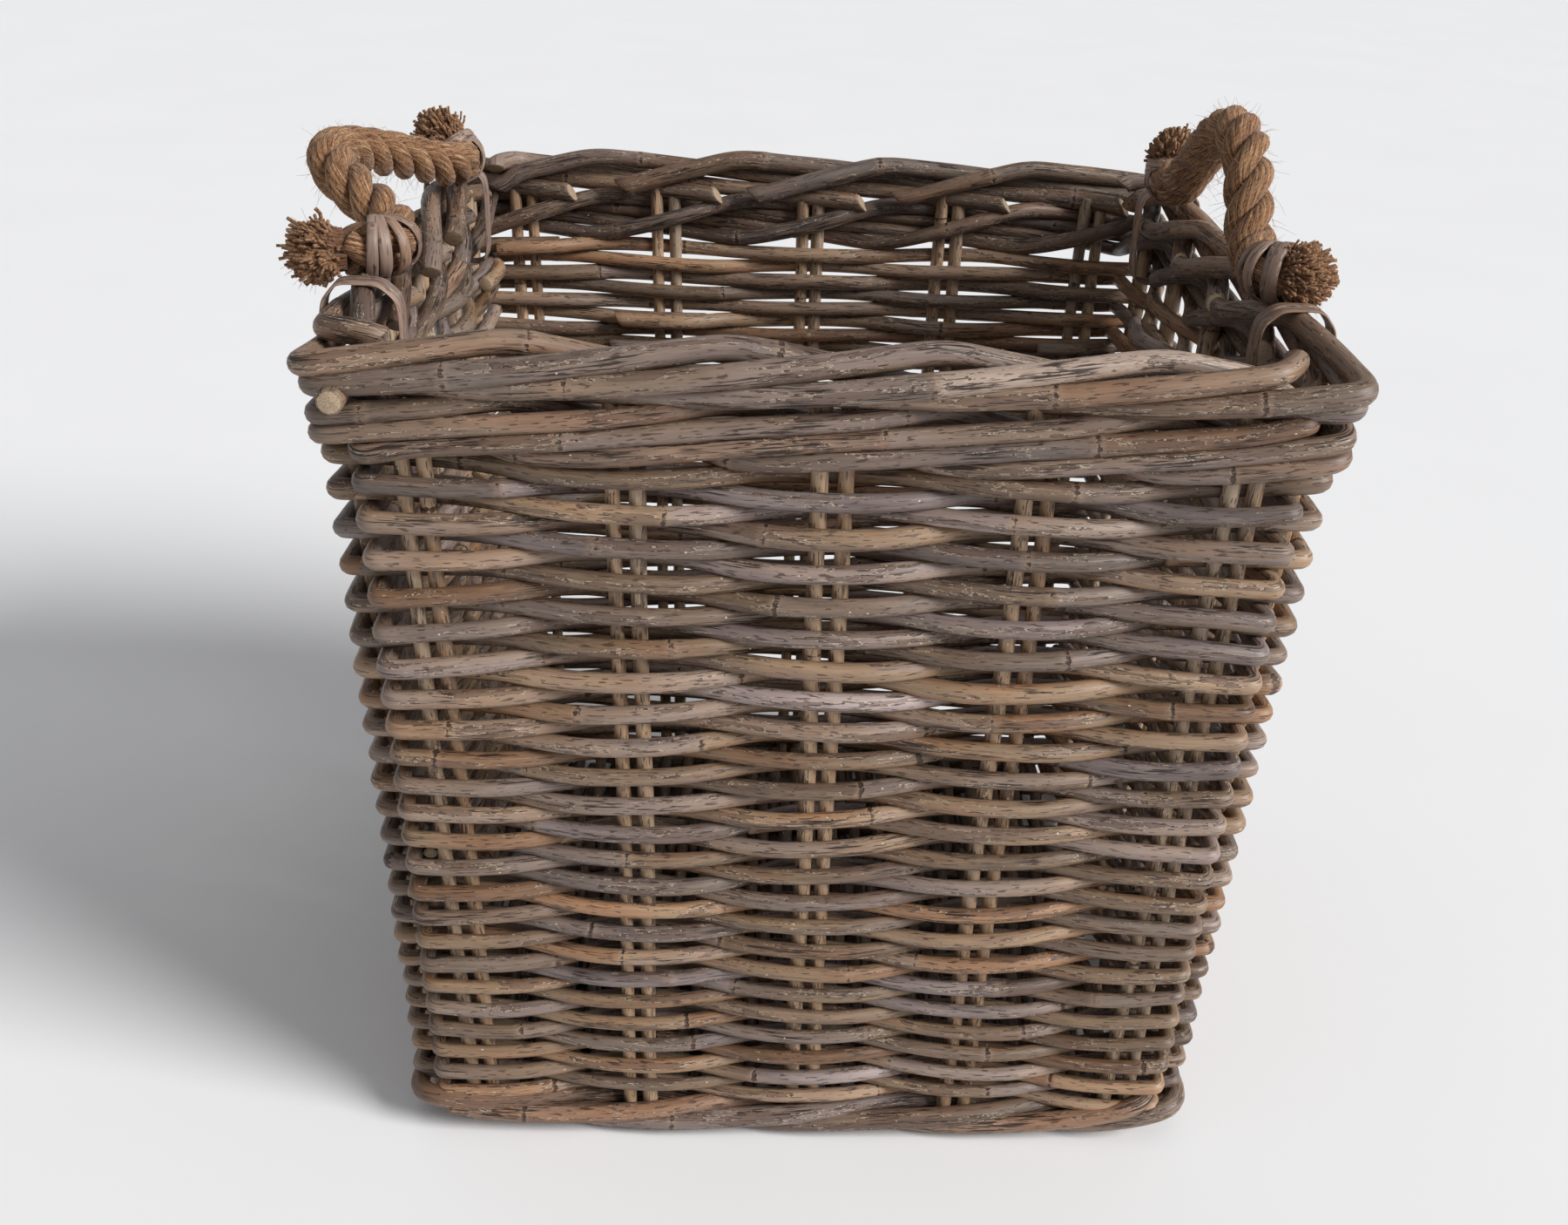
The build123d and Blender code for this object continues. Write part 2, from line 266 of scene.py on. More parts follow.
class Bundle:
    """Tubes gathered into one mesh, with the attributes that the materials read.

    grain: the place in the rod as if it were straight (along, across, across).
    look: tone and hue of the rod, and the distance to its nearest node; on a rope strand, its first
    part is painted shade in the grooves between the yarns.
    cut: 1 on a cut end, and 0 elsewhere; on a rope's chopped yarns, it is painted shade toward their
    roots.
    """

    def __init__(self):
        self.parts = []  # points, grain, look and cut, each time that points are added
        self.faces = []
        self.count = 0

    def add_rings(self, rings, grain, look, cut):
        """Joins rings of points into a tube; rings is stations x sides x 3."""
        turns, sides = rings.shape[:2]
        first = self.count
        here = first + np.arange(turns - 1)[:, None] * sides + np.arange(sides)[None]
        beside = first + np.arange(turns - 1)[:, None] * sides + (np.arange(sides)[None] + 1) % sides
        quads = np.stack([here, beside, beside + sides, here + sides], axis=2)
        self.faces += quads.reshape(-1, 4).tolist()
        vectors_in = [part.reshape(-1, 3) for part in (rings, grain, look)]
        self.parts.append((*vectors_in, np.repeat(cut, sides)))
        self.count += turns * sides
        for ring, order in ((0, -1), (turns - 1, 1)):
            middle = [part[ring].mean(axis=0)[None] for part in (rings, grain)]
            self.parts.append((*middle, look[ring, :1], cut[ring : ring + 1]))
            base = first + ring * sides
            for side in range(sides):
                pair = (base + side, base + (side + 1) % sides)
                self.faces.append((self.count, *pair[::order]))
            self.count += 1

    def tube(self, line, radius, tone, hue, reference=Z, sides=12, spacing=3.4 * MM, slant=0.0):
        """A rod along a line, with nodes, small swellings and rounded cut ends."""
        line = stations(line, spacing)
        along = lengths(line)
        offset = rng.uniform(0.0, GRAIN_SHIFT)
        node_gap = rng.uniform(*NODE_GAPS)
        to_node = np.abs((along + offset) % node_gap - node_gap / 2)
        joint = np.floor((along + offset) / node_gap + 0.5)
        change = TONE_CHANGE * np.sin(joint * JOINT_TURN + TONE_TURN * tone)
        swell = 1.0 + NODE_SWELL * np.exp(-((to_node / NODE_REACH) ** 2))
        wander = 1.0 + sum(share * np.sin(along / wave + by * offset) for share, wave, by in WANDERS)
        radius = radius * swell * wander
        first, second = side_vectors(line, reference)
        heading = tangents(line)
        rows, shrink, push, cut = end_rows(len(line))
        angle = round_angles(sides)
        cos, sin = np.cos(angle), np.sin(angle)
        oval = 1.0 + rng.uniform(0.0, OUT_OF_ROUND) * np.cos(2 * angle + rng.uniform(*ANY_PHASE))
        size = (radius[rows] * shrink)[:, None] * oval[None]
        centre = line[rows] + heading[rows] * push[:, None]
        rings = rings_round(centre, first[rows], second[rows], size, angle)
        for ring in SLANTED_RINGS:
            rings[ring] += heading[rows[ring]] * (slant * size[ring] * cos)[:, None]
        far = (along[rows] + push + offset)[:, None]
        grain = vectors(rings, far, size * cos + rng.uniform(-1, 1), size * sin + rng.uniform(-1, 1))
        look = vectors(rings, *[part[rows][:, None] for part in (tone + change, hue + change, to_node)])
        self.add_rings(rings, grain, look, cut)

    def build(self, name, material, slot, nodes=(), body="basket"):
        """Makes the mesh object and ties it to the frame."""
        mesh = bpy.data.meshes.new(name)
        points, *values = [np.concatenate(part) for part in zip(*self.parts)]
        mesh.from_pydata(points.tolist(), [], self.faces)
        for label, value in zip(("grain", "look", "cut"), values):
            kind, key = ("FLOAT", "value") if value.ndim == 1 else ("FLOAT_VECTOR", "vector")
            attribute = mesh.attributes.new(label, kind, "POINT")
            attribute.data.foreach_set(key, value.astype(np.float32).ravel())
        mesh.shade_smooth()
        mesh.materials.append(material)
        piece = new_object(name, mesh)
        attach(piece, body)
        if nodes:
            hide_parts(*nodes)
        return piece


# ---- lines round the basket
STEPS_A_PAIR = 60  # points of a line from one pair of stakes to the next
HAIR = 1e-6  # how far inside a wall its corner is looked up
# Rise and fall of the rows: millimetres, waves round, turn with height, start
SWAYS = ((1.5, 3, 21, 0), (1.1, 7, 37, 1), (0.5, 13, -43, 0))


def outer_half(rim_half, z):
    """Half the size of the woven basket at height z."""
    return rim_half * (BASE_SHARE + (1 - BASE_SHARE) * z / HEIGHT)


def stake_half(rim_half, z):
    """Half the distance between the stakes of opposite walls at height z."""
    return outer_half(rim_half, z) - STAKE_INSET


def rim_halves(wall):
    """Half sizes of the rim, square to this wall and along it."""
    return (RIM_Y, RIM_X) if wall % 2 == 0 else (RIM_X, RIM_Y)


def wall_at(phase):
    """Number of the wall at a phase; it goes on past 3 the second time round."""
    return math.floor((phase + 0.5) / PAIRS)


def place_in_wall(phase):
    """The phase counted from the first pair of its own wall."""
    return (phase + 0.5) % PAIRS - 0.5


def ring_line(first, last, z, out, rise, bend=10):
    """A rod's line at height z from phase first to last: out and rise are functions of phase."""
    phase = np.linspace(first, last, int((last - first) * STEPS_A_PAIR) + 2)
    line = np.zeros((len(phase), 3))
    for wall in range(wall_at(first), wall_at(last) + 1):
        begin = wall * PAIRS - 0.5
        mine = (phase >= begin) & (phase <= begin + PAIRS)
        if not mine.any():
            continue
        along, outward = WALLS[wall % 4]
        across_half, along_half = rim_halves(wall)
        before = stake_half(along_half, z) + out(np.array([begin - HAIR]))[0]
        after = stake_half(along_half, z) + out(np.array([begin + PAIRS + HAIR]))[0]
        marks = [-before, *(PAIR_SHARES * outer_half(along_half, z)), after]
        place = np.interp(phase[mine] - wall * PAIRS, [-0.5, *range(PAIRS), PAIRS - 0.5], marks)
        inside = np.clip(phase[mine], begin + HAIR, begin + PAIRS - HAIR)
        line[mine] = along * place[:, None]
        line[mine] += outward * (stake_half(across_half, z) + out(inside))[:, None]
    line[:, 2] = z + rise(phase)
    return softened(line, bend)


def held(phase):
    """The phase, held at the wall's end pair between there and the corner."""
    local = place_in_wall(phase)
    return phase - local + np.clip(local, 0, PAIRS - 1)


def turn_at(phase):
    """The phase as an angle round the basket."""
    return phase * 2 * math.pi / AROUND


def sway(phase, z):
    """A slow rise and fall that neighbouring rows share."""
    turn = turn_at(phase)
    return MM * sum(size * np.sin(waves * turn + z * up + start) for size, waves, up, start in SWAYS)


def ease(value):
    """Smooth step from 0 to 1."""
    value = np.clip(value, 0.0, 1.0)
    return value * value * (3 - 2 * value)


# ---- materials
def linear(*colour):
    """A colour given as it looks on a screen, as the renderer's linear values."""
    return (*[((c + 0.055) / 1.055) ** 2.4 if c > 0.04 else c / 12.92 for c in colour], 1.0)


def palette(*colours):
    """Several colours given as they look on a screen."""
    return [linear(*colour) for colour in colours]


class Graph:
    """Short calls that add shader nodes to a new material."""

    def __init__(self, name):
        self.material = bpy.data.materials.new(name)
        self.material.use_nodes = True
        self.tree = self.material.node_tree
        self.tree.nodes.clear()
        self.grain = None  # the vector that noise and cells go by

    def node(self, kind, inputs=None, out=0, **settings):
        """A new node; inputs are sockets to link or values to set."""
        made = self.tree.nodes.new("ShaderNode" + kind)
        for key, value in settings.items():
            setattr(made, key, value)
        for key, value in (inputs or {}).items():
            if isinstance(value, bpy.types.NodeSocket):
                self.tree.links.new(value, made.inputs[key])
            else:
                made.inputs[key].default_value = value
        return made.outputs[out] if len(made.outputs) else None

    def attribute(self, name, out="Vector"):
        return self.node("Attribute", attribute_name=name, out=out)

    def split(self, vector):
        made = self.tree.nodes.new("ShaderNodeSeparateXYZ")
        self.tree.links.new(vector, made.inputs[0])
        return made.outputs

    def math(self, operation, first, second=0.0, third=0.0):
        return self.node("Math", {0: first, 1: second, 2: third}, operation=operation)

    def times(self, first, second):
        return self.math("MULTIPLY", first, second)

    def plus(self, onto, value, gain):
        """onto + value x gain."""
        return self.math("MULTIPLY_ADD", value, gain, onto)

    def vary(self, onto, noise, gain):
        """onto, moved up and down by a noise that lies about 0.5."""
        return self.plus(onto, self.math("SUBTRACT", noise, 0.5), gain)

    def scaled(self, vector, *scale):
        return self.node("VectorMath", {0: vector, 1: scale}, operation="MULTIPLY")

    def noise(self, along, across, detail, roughness=0.5, distortion=0.0):
        """Noise in the grain of a rod, at so many lumps a metre along it and across it."""
        place = self.scaled(self.grain, along, across, across)
        shape = {"Detail": detail, "Roughness": roughness, "Distortion": distortion}
        return self.node("TexNoise", {"Vector": place, "Scale": 1.0, **shape})

    def cells(self, along, across):
        """Distance to the nearest of scattered spots, so many a metre along and across."""
        place = self.scaled(self.grain, along, across, across)
        return self.node("TexVoronoi", {"Vector": place, "Scale": 1.0})

    def step(self, value, low, high):
        """Smooth step: 0 where the value is at low, 1 where it is at high."""
        inputs = {"Value": value, "From Min": low, "From Max": high}
        return self.node("MapRange", inputs, interpolation_type="SMOOTHSTEP")

    def mix(self, share, first, second, blend="MIX"):
        inputs = {0: share, 6: first, 7: second}
        return self.node("Mix", inputs, out=2, data_type="RGBA", blend_type=blend)

    def layer(self, under, share, over, strength=1.0):
        """One colour over another, where share is 1, as strongly as strength says."""
        return self.mix(self.times(share, strength), under, over)

    def ramp(self, value, colours):
        """Colours evenly spaced over the values from 0 to 1."""
        made = self.tree.nodes.new("ShaderNodeValToRGB")
        self.tree.links.new(value, made.inputs[0])
        elements = made.color_ramp.elements
        elements.remove(elements[1])
        elements[0].color = colours[0]
        for i, colour in enumerate(colours[1:], 1):
            elements.new(i / (len(colours) - 1)).color = colour
        return made.outputs[0]

    def finish(self, colour, roughness, height, depth, **settings):
        """The shader: colour, roughness, and relief so deep where height goes from 0 to 1."""
        bump = self.node("Bump", {"Strength": 1.0, "Distance": depth, "Height": height})
        inputs = {"Base Color": colour, "Roughness": roughness, "Normal": bump, **settings}
        shader = self.node("BsdfPrincipled", inputs)
        self.node("OutputMaterial", {"Surface": shader})
        return self.material


WEAVER_HUES = palette(
    (0.56, 0.42, 0.31), (0.57, 0.47, 0.37), (0.50, 0.41, 0.34),
    (0.52, 0.45, 0.40), (0.46, 0.40, 0.38), (0.56, 0.50, 0.48),
)
# The wales' hues are a little darker than the weavers': painted shade that holds down how bright the
# wales look under the light from above.
PAINTED_SHADE_WALE_HUES = palette(
    (0.52, 0.39, 0.30), (0.51, 0.41, 0.34), (0.43, 0.36, 0.30),
    (0.46, 0.39, 0.35), (0.40, 0.35, 0.33), (0.53, 0.46, 0.42),
)
# painted shade, as for the wales: a little darker than the weavers' hues, for the border at the top
PAINTED_SHADE_BORDER_HUES = palette(
    (0.52, 0.40, 0.31), (0.53, 0.43, 0.35), (0.45, 0.38, 0.32),
    (0.48, 0.41, 0.37), (0.42, 0.37, 0.34), (0.55, 0.48, 0.43),
)
STAKE_HUES = palette((0.62, 0.50, 0.39), (0.69, 0.58, 0.47), (0.62, 0.54, 0.46))
# The base is the same cane as the walls; its darker hues are painted shade for the inside floor of the
# basket, seen through the gaps of the walls.
PAINTED_SHADE_BASE_HUES = palette((0.36, 0.27, 0.21), (0.38, 0.31, 0.25), (0.33, 0.28, 0.25))
PEEL_HUES = palette((0.56, 0.44, 0.36), (0.60, 0.50, 0.44), (0.50, 0.42, 0.38))
ROPE_HUES = palette((0.55, 0.39, 0.27), (0.65, 0.48, 0.34), (0.72, 0.57, 0.43))

OLD_BARK = linear(0.36, 0.27, 0.22)
BARK_EDGE = linear(0.76, 0.69, 0.60)
BARK_RIM = linear(0.17, 0.11, 0.09)
SLIT = linear(0.13, 0.08, 0.06)
FLECK = linear(0.20, 0.13, 0.10)
SPECK = linear(0.14, 0.09, 0.07)
DUST = linear(0.86, 0.80, 0.72)
NODE_BAND = linear(0.62, 0.51, 0.42)
NODE_CRACK = linear(0.17, 0.10, 0.08)
PITH = linear(0.70, 0.61, 0.50)
PORE = linear(0.38, 0.29, 0.23)
ROPE_SHADOW = linear(0.30, 0.17, 0.10)
# painted highlight for the rope's fibres
ROPE_HIGHLIGHT = linear(0.86, 0.72, 0.55)
# painted shade for the grooves between the yarns
ROPE_GROOVE_SHADE = linear(0.16, 0.09, 0.06)
# painted shade for the roots of chopped yarns, deep in a fray
ROPE_ROOT_SHADE = linear(0.34, 0.19, 0.10)


class Rattan(Graph):
    """Weathered whole rattan, made of layers that follow the grain of each rod.

    bark, 0 to 1, is how much old bark it has, and tone_reach how much its rods differ.
    """

    def __init__(self, name, hues, bark, tone_reach=0.35):
        super().__init__(name)
        self.bark = bark
        self.grain = self.attribute("grain")
        self.tone, self.hue, self.to_node = self.split(self.attribute("look"))
        self.cut = self.attribute("cut", out="Fac")
        self.broad = self.noise(9, 70, 2.0)
        self.medium = self.noise(30, 400, 4.0, 0.65)
        self.streak = self.noise(36, 950, 4.0, 0.7)
        self.fibre = self.noise(160, 4200, 2.0, 0.6)
        self.ragged = self.noise(260, 480, 2.0)
        colour = self.rod_colour(hues, tone_reach)
        colour, bark_on = self.old_bark(colour)
        colour, slit = self.slits(colour)
        colour = self.specks(colour)
        colour, crack = self.node_marks(colour)
        colour = self.cut_ends(colour)
        roughness = self.plus(0.30, self.streak, 0.30)
        height = self.plus(self.times(self.medium, 0.6), self.streak, 0.45)
        for part, depth in ((slit, -1.0), (bark_on, 0.7), (crack, -1.8), (self.fibre, 0.12)):
            height = self.plus(height, part, depth)
        self.finish(colour, roughness, height, 0.4 * MM)

    def rod_colour(self, hues, tone_reach):
        """The hue of the rod, with slow changes along it and streaks."""
        colour = self.ramp(self.vary(self.hue, self.broad, 1.4), hues)
        shade = self.vary(1.0, self.tone, 2 * tone_reach)
        for noise, gain in ((self.medium, 0.9), (self.streak, 1.0), (self.fibre, 0.5)):
            shade = self.vary(shade, noise, gain)
        grey = self.node("CombineColor", {0: shade, 1: shade, 2: shade})
        return self.mix(1.0, colour, grey, "MULTIPLY")

    def old_bark(self, colour):
        """Dark bark left in long patches, with a ragged cream edge and a thin dark rim."""
        patch = self.plus(self.noise(13, 150, 4.0, 0.6), self.ragged, 0.16)
        level = 0.665 - 0.05 * self.bark
        bark_on = self.step(patch, level, level + 0.010)
        colour = self.layer(colour, bark_on, OLD_BARK, 0.55)
        edge = self.math("SUBTRACT", self.step(patch, level - 0.012, level - 0.004), bark_on)
        colour = self.layer(colour, edge, BARK_EDGE, 0.65)
        rim = self.math("SUBTRACT", bark_on, self.step(patch, level + 0.010, level + 0.022))
        return self.layer(colour, rim, BARK_RIM, 0.75), bark_on

    def slits(self, colour):
        """Dark slits along the grain, in some places only: in more where there is more bark."""
        least = 0.64 - 0.14 * self.bark
        places = self.step(self.noise(17, 110, 2.0), least, least + 0.08)
        slit = self.step(self.noise(55, 1250, 2.0), 0.53, 0.58)
        slit = self.times(slit, places)
        return self.layer(colour, slit, SLIT, 0.92), slit

    def specks(self, colour):
        """Fine flecks everywhere, dark specks in places, and pale dust."""
        flecks = self.step(self.noise(140, 1000, 1.0), 0.62, 0.655)
        colour = self.layer(colour, flecks, FLECK, 0.75)
        dots = self.step(self.cells(180, 260), 0.12, 0.05)
        dots = self.times(dots, self.step(self.broad, 0.45, 0.6))
        colour = self.layer(colour, dots, SPECK, 0.8)
        dust = self.step(self.cells(70, 90), 0.050, 0.025)
        return self.layer(colour, dust, DUST, 0.8)

    def node_marks(self, colour):
        """The nodes: a crooked dark crack with a pale band on each side."""
        crooked = self.vary(self.to_node, self.ragged, 5 * MM)
        band = self.step(crooked, 4.5 * MM, 1.5 * MM)
        colour = self.layer(colour, band, NODE_BAND, 0.25)
        crack = self.step(self.math("ABSOLUTE", crooked), 1.5 * MM, 0.5 * MM)
        crack = self.times(crack, self.step(self.medium, 0.34, 0.50))
        return self.layer(colour, crack, NODE_CRACK, 0.85), crack

    def cut_ends(self, colour):
        """Cut ends show pale pith with dark pores."""
        pores = self.step(self.noise(2600, 2600, 1.0), 0.55, 0.62)
        pith = self.layer(PITH, pores, PORE, 0.6)
        return self.mix(self.step(self.cut, 0.5, 0.9), colour, pith)


def rope_material():
    """Twisted natural fibre: golden brown, with painted shade in the grooves between the yarns, painted
    highlights and shadows streaked along the fibres, and painted shade toward the roots of chopped
    yarns.
    """
    g = Graph("rope_fibre")
    g.grain = g.attribute("grain")
    groove_shade, hue, _ = g.split(g.attribute("look"))
    cut = g.attribute("cut", out="Fac")
    broad = g.noise(60, 60, 2.0)
    fibre = g.noise(200, 1800, 3.0, 0.7)
    tangle = g.noise(700, 1600, 3.0, 0.7, 1.2)
    colour = g.ramp(g.vary(hue, broad, 0.8), ROPE_HUES)
    colour = g.layer(colour, g.step(fibre, 0.50, 0.38), ROPE_SHADOW)
    # painted highlights, streaked along the fibres
    colour = g.layer(colour, g.step(fibre, 0.56, 0.68), ROPE_HIGHLIGHT)
    # painted shade, darkest deep in the grooves between the yarns
    colour = g.layer(colour, groove_shade, ROPE_GROOVE_SHADE, 0.9)
    # painted shade toward the roots of chopped yarns
    colour = g.layer(colour, cut, ROPE_ROOT_SHADE, 0.75)
    height = g.plus(g.times(tangle, 0.4), fibre, 0.8)
    roughness = g.plus(0.75, tangle, 0.15)
    settings = {"Specular IOR Level": 0.2, "Sheen Weight": 0.15}
    return g.finish(colour, roughness, height, 0.6 * MM, **settings)


weaver_look = Rattan("weaver_rattan", WEAVER_HUES, 0.4).material
wale_look = Rattan("wale_rattan", PAINTED_SHADE_WALE_HUES, 0.95).material
border_look = Rattan("border_rattan", PAINTED_SHADE_BORDER_HUES, 0.8).material
stake_look = Rattan("stake_rattan", STAKE_HUES, 0.1, 0.2).material
# darker hues as painted shade for the inside floor
painted_shade_base_look = Rattan("base_rattan", PAINTED_SHADE_BASE_HUES, 0.2).material
peel_look = Rattan("peel_rattan", PEEL_HUES, 0.0, 0.2).material
rope_look = rope_material()


# ---- the woven walls
SNUG = 0.86  # how far a rod swings, as a share of what would clear the stakes
BACK_SHARE = 0.62  # of the full swing, on the back wall, which is woven closer
ROD_SHARES = (0.98, 1.13)  # least and most size of a weaver, as a share of its rows' pitch
OVERLAPS = (0.22, 0.40)  # least and most that a weaver's end goes past its pair, in phase
TUCK = 0.9  # how far a weaver's last end goes in behind the next, as a share of its size
TUCK_FROM, TUCK_OVER = 0.45, 0.4  # where that starts before the pair, and over how much phase
RIPPLES = ((0.32, 9), (0.26, 17))  # a weaver's own rise and fall: millimetres, waves round
HUE_MIDDLE, HUE_SPREAD = 0.38, 0.20
FEWEST_PAIRS, MOST_PAIRS = 4, 6  # that the first rod of a row passes, counted in twos

STAKE_LOW, STAKE_HIGH = 3.0 * MM, 428.0 * MM
STAKE_LEAN = 0.8 * MM
STAKE_BOW = 0.6 * MM


def weave(row, phase):
    """1 where a row is in front of the stakes, -1 behind them, smooth between."""
    swing = np.cos(math.pi * (held(phase) + row))
    return swing * (1.25 - 0.25 * swing * swing)


def swing_share(phase):
    """Share of the full swing that rods have: less on the back wall."""
    behind = np.abs((phase + 0.5) % AROUND - 2.5 * PAIRS) < PAIRS / 2
    return np.where(behind, BACK_SHARE, 1.0)


def rod_hue():
    """Hue of one rod: most are tan to grey brown, a few orange or bluish."""
    return np.clip(rng.normal(HUE_MIDDLE, HUE_SPREAD), 0.0, 1.0)


def weave_row(bundle, row, z, pitch):
    """One row, as two rods whose ends overlap behind a pair of stakes."""
    first_break = int(rng.integers(0, AROUND // 2)) * 2 + (row + 1) % 2
    second_break = first_break + 2 * int(rng.integers(FEWEST_PAIRS, MOST_PAIRS + 1))
    breaks = [first_break, second_break, first_break + AROUND]
    for start, end in zip(breaks, breaks[1:]):
        size = pitch * rng.uniform(*ROD_SHARES)
        reach = SNUG * (size + STAKE_D) / 2
        wobble = rng.uniform(*ANY_PHASE, 3)
        before, after = rng.uniform(*OVERLAPS, 2)

        def out(phase):
            tail = ease((phase - (end - TUCK_FROM)) / TUCK_OVER)
            return reach * swing_share(phase) * weave(row, phase) - tail * TUCK * size

        def rise(phase):
            turn = turn_at(phase)
            own = sum(high * np.sin(waves * turn + at) for (high, waves), at in zip(RIPPLES, wobble))
            return sway(phase, z) + MM * own

        line = ring_line(start - before, end + after, z, out, rise)
        bundle.tube(line, size / 2, rng.uniform(0, 1), rod_hue(), slant=rng.uniform(0, 0.8))


def add_walls():
    """All rows of weavers, in the bands that the CAD has."""
    growth = (HIGH_PITCH - LOW_PITCH) / (ROWS - 1)
    rows = []
    z = LOWEST_ROW
    for row in range(ROWS):
        pitch = LOW_PITCH + row * growth
        rows.append((row, z, pitch))
        z += pitch + growth / 2
    extra = [(-i, LOWEST_ROW - i * EXTRA_PITCH, EXTRA_PITCH) for i in range(EXTRA_ROWS, 0, -1)]
    per_band = ROWS // BANDS
    for band in range(BANDS):
        bundle = Bundle()
        chosen = rows[band * per_band : (band + 1) * per_band]
        for row, z, pitch in (extra if band == 0 else []) + chosen:
            weave_row(bundle, row, z, pitch)
        number = f"{band + 1:02d}"
        bundle.build(f"weaver_rows_{number}", weaver_look, "weaver_rattan", [f"weaver_band_{number}"])


def add_stakes():
    """Ten upright rods to a wall, in pairs."""
    for wall, name in enumerate(("front", "right", "back", "left")):
        bundle = Bundle()
        for share in PAIR_SHARES:
            lean = rng.normal(0, STAKE_LEAN, 2)
            for side in (-1, 1):
                add_stake(bundle, wall, share, side, lean)
        bundle.build(f"stake_rods_{name}", stake_look, "stake_rattan", [f"stakes_{name}"])


def add_stake(bundle, wall, share, side, lean):
    """One stake of the pair at this share of half the wall; it leans and bows a little."""
    along, outward = WALLS[wall]
    across_half, along_half = rim_halves(wall)
    heights = np.linspace(STAKE_LOW, STAKE_HIGH, 60)
    run = (heights - STAKE_LOW) / (STAKE_HIGH - STAKE_LOW)
    bow = STAKE_BOW * np.sin(run * rng.uniform(5, 12) + rng.uniform(0, 6))
    place = share * outer_half(along_half, heights) + side * STAKE_SPREAD / 2
    place = place + bow + lean[0] + (lean[1] - lean[0]) * run
    line = along * place[:, None] + outward * stake_half(across_half, heights)[:, None]
    line[:, 2] = heights
    size = STAKE_D * rng.uniform(0.90, 1.06)
    tone, hue = rng.uniform(0, 1, 2)
    bundle.tube(line, size / 2, tone, hue, reference=outward, spacing=5 * MM)


WALE_NODES = ("lower", "middle", "upper")
WALE_BEFORE, WALE_AFTER = 0.3, 0.35  # how far a rod's ends go past its half round, in phase
WALE_SWAY = 0.5  # share of the rows' sway that a wale has
CORNER_REACH = 0.55  # phase from a corner over which its lift goes down


def add_wale(name, z, strands, size, climb, lift, bend):
    """Rods that pass in front of all pairs but one in turn, and climb as they go.

    z is the middle of the wale, climb how far a rod is over or under it at most, lift how much
    higher it is at the corners, and bend how far round them it is rounded.
    """
    for strand in range(strands):
        bundle = Bundle()
        start = int(rng.integers(0, AROUND))
        start -= (start + strand) % strands
        reach = (size + STAKE_D) / 2

        def out(phase):
            turn = (held(phase) + strand) % strands
            near = np.minimum(turn, strands - turn)
            return reach * -np.cos(math.pi * np.minimum(near, 1.0))

        def rise(phase):
            turn = (phase + strand) % strands
            slope = np.interp(turn, [0, 0.5, strands - 0.5, strands], [0, -1, 1, 0])
            local = place_in_wall(phase)
            corner = np.minimum(np.abs(local + 0.5), np.abs(local - PAIRS + 0.5))
            raised = lift * np.exp(-((corner / CORNER_REACH) ** 2))
            return slope * climb + raised + sway(phase, z) * WALE_SWAY

        half = AROUND / 2 + rng.uniform(-0.2, 0.2)
        for begin in (start, start + half):
            end = begin + half
            line = ring_line(begin - WALE_BEFORE, end + WALE_AFTER, z, out, rise, bend=bend)
            thick = size / 2 * rng.uniform(0.95, 1.05)
            bundle.tube(line, thick, rng.uniform(0, 1), rod_hue(), slant=0.5)
        nodes = [f"{name}_{place}" for place in WALE_NODES[strand : strand + 1]]
        bundle.build(f"{name}_strand_{strand + 1}", wale_look, "wale_rattan", nodes)


# The run of one border rod: phase from its own pair, millimetres out from the stakes, height
BORDER_RUN = np.array([
    (-0.35, -9.0, 424.5), (0.0, 0.0, 425.5), (0.5, 8.0, 427.5),
    (1.0, 10.5, 431.0), (1.5, 11.0, 436.5), (2.0, 7.0, 441.5),
    (2.5, -1.0, 446.6), (3.0, -9.0, 436.0), (3.35, -12.5, 427.0),
])
BORDER_FIRST, BORDER_LAST = BORDER_RUN[0, 0], BORDER_RUN[-1, 0]
BORDER_SIZES = (10.2, 11.8)  # least and most, in millimetres
CORNER_TUCK = 15.0 * MM  # how far a rod that ends at a corner bends in
TUCKED_FROM, TUCKED_TO = 2.2, 2.9  # a rod with a corner there in its run ends at that corner
CORNER_PAST = 0.08  # how far past the corner it ends, in phase


def add_border():
    """The rolled border: each rod climbs the outside, rolls over the top and ends inside."""
    bundles = [Bundle() for _ in range(3)]
    for pair in range(AROUND):
        size = rng.uniform(*BORDER_SIZES) * MM
        shift = rng.normal(0, 0.5 * MM, 2)
        last = BORDER_LAST + rng.uniform(-0.08, 0.1)
        corner = (wall_at(pair + TUCKED_FROM) + 1) * PAIRS - 0.5 - pair
        tucked = TUCKED_FROM < corner < TUCKED_TO
        if tucked:
            last = corner + CORNER_PAST

        def tuck(phase):
            return CORNER_TUCK * ease((phase - pair - corner + 0.42) / 0.5) if tucked else 0.0

        def out(phase):
            reach = np.interp(phase - pair, BORDER_RUN[:, 0], BORDER_RUN[:, 1]) * MM
            return reach + shift[0] - tuck(phase)

        def rise(phase):
            height = np.interp(phase - pair, BORDER_RUN[:, 0], BORDER_RUN[:, 2]) * MM
            return height + shift[1] - HEIGHT - 0.25 * tuck(phase)

        line = ring_line(pair + BORDER_FIRST, pair + last, HEIGHT, out, rise, bend=13)
        bundles[pair % 3].tube(line, size / 2, rng.uniform(0, 1), rod_hue(), sides=16, slant=0.7)
    add_corner_tail(bundles[0])
    for bundle, node in zip(bundles, ("top", "outer", "inner")):
        bundle.build(f"border_rods_{node}", border_look, "border_rattan", [f"border_rod_{node}"])


